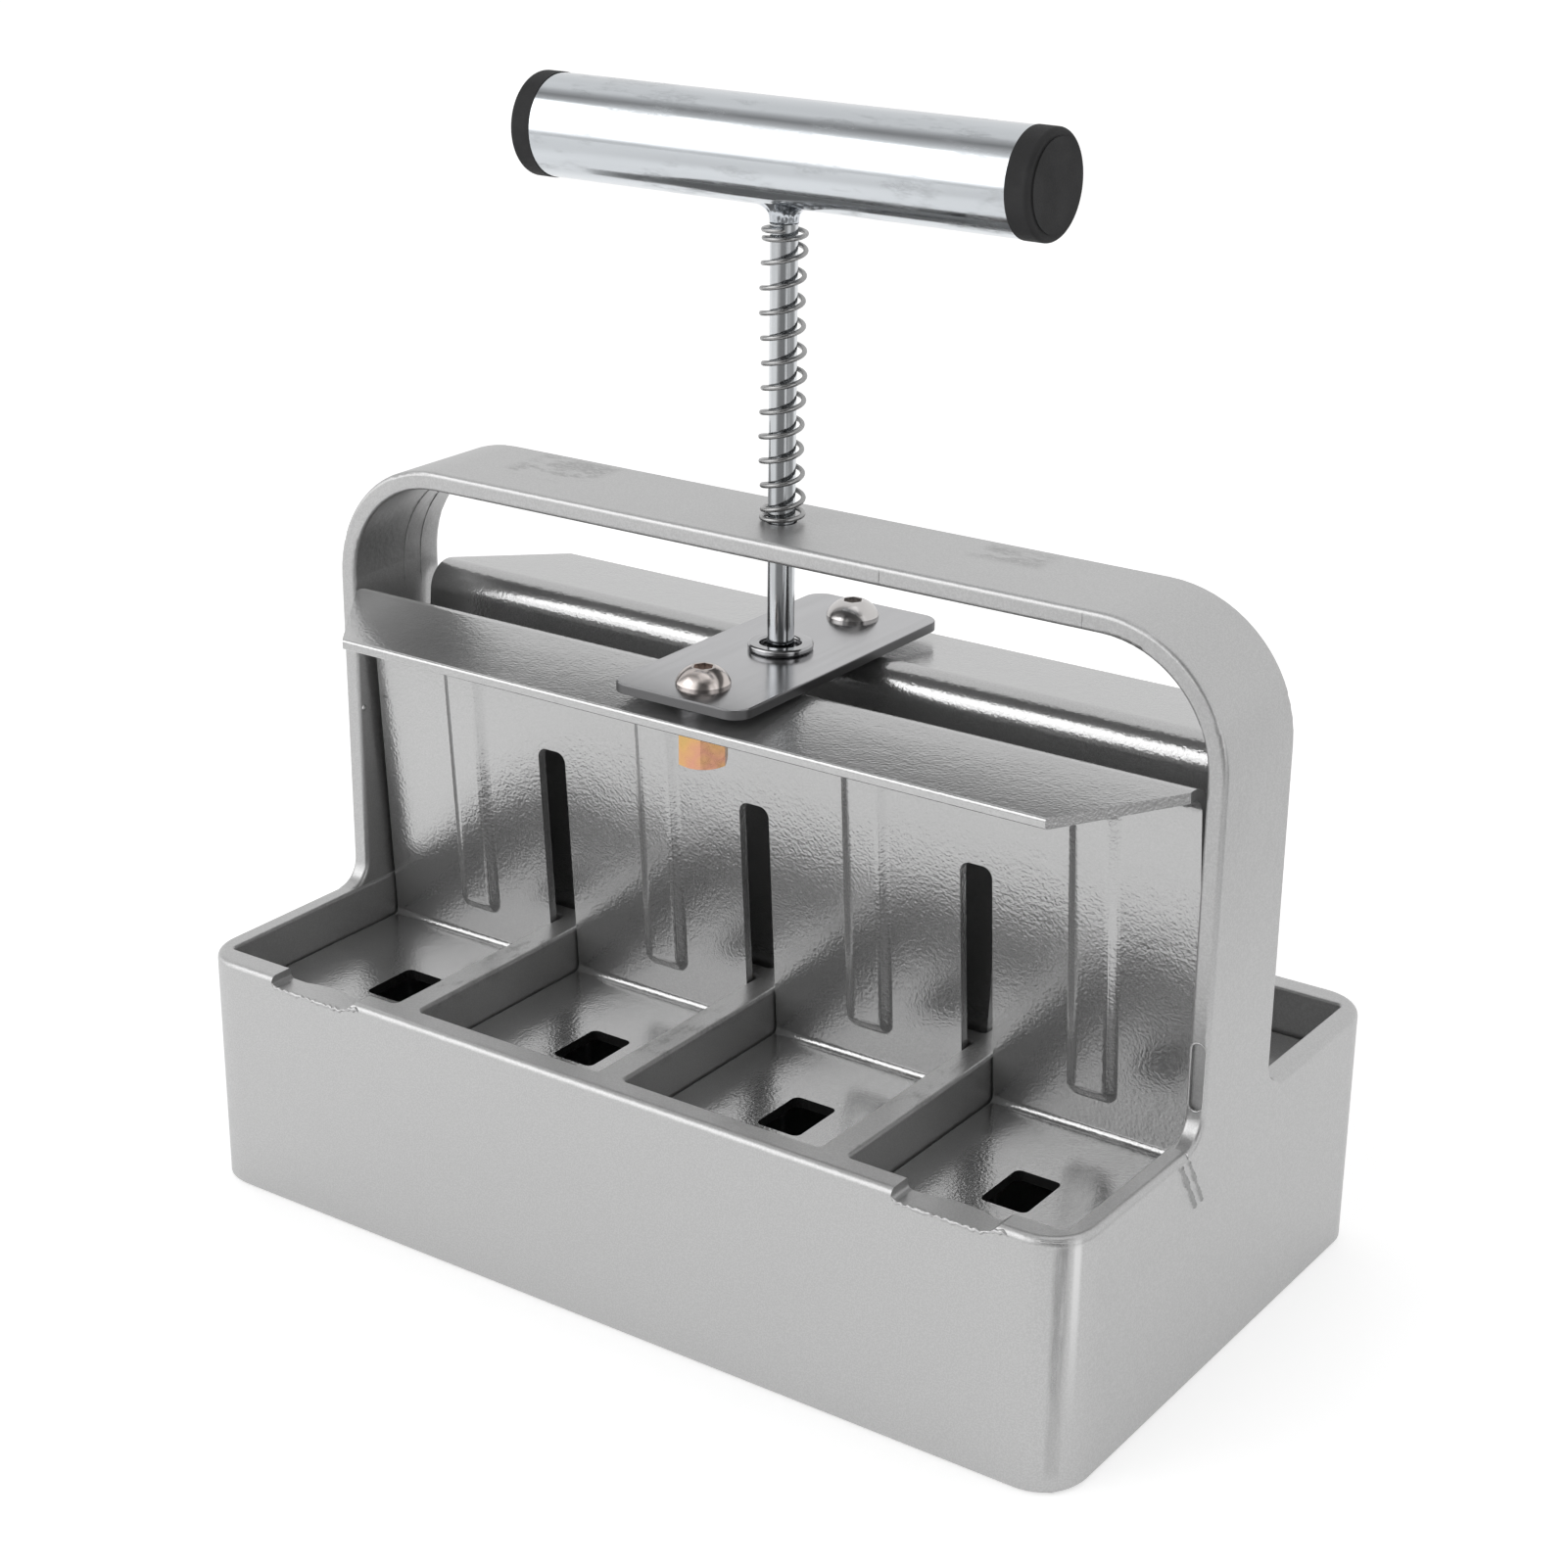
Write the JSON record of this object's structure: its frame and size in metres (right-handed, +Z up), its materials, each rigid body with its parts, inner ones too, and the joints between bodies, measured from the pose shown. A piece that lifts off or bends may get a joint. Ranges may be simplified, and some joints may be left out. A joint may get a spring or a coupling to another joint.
{
  "type": "soil blocker",
  "caption": "Hand press with an open cast mould of square-edged cells under a carrying arch, and a sprung T-handle that pushes two press plates down through the cells.",
  "frame": {"origin": "middle of the mould's bottom face, on the surface that the tool stands on", "axes": "+Z up along the plunger rod, +X along the rows of cells and the handle tube, -Y the long side with the two gate scars"},
  "size_m": [0.2342, 0.138, 0.2572],
  "materials": {
    "cast_paint": "die cast aluminium under satin silver paint",
    "bright_steel": "bright zinc plated steel",
    "weld_metal": "plated weld metal, slightly dull",
    "yellow_zinc": "steel with yellow, slightly iridescent zinc",
    "zinc_tube": "bright zinc plated tube with fine length-wise streaks",
    "black_plastic": "matte moulded plastic",
    "spring_wire": "plated spring wire"
  },
  "bodies": {
    "mould": {"mould_body": "cast_paint", "return_spring": "spring_wire"},
    "plunger": {"press_plate_front": "cast_paint", "press_plate_rear": "cast_paint", "bridge_plate": "bright_steel", "rod_collar": "bright_steel", "plunger_rod": "bright_steel", "tail_washer": "bright_steel", "tail_nut": "bright_steel", "weld_bead": "weld_metal", "clamp_screw_front": "bright_steel", "clamp_screw_rear": "bright_steel", "clamp_nut_front": "yellow_zinc", "clamp_nut_rear": "yellow_zinc", "bridge_spacer_front": "bright_steel", "bridge_spacer_rear": "bright_steel", "handle_tube": "zinc_tube", "end_cap_left": "black_plastic", "end_cap_right": "black_plastic"}
  },
  "joints": [
    {"name": "plunger_slide", "type": "slide", "parent": "mould", "child": "plunger", "axis": [0, 0, -1], "range_m": [0, 0.0435], "stiffness_N_per_m": 3200, "springref_m": -0.0102, "deforming": ["return_spring"]}
  ]
}
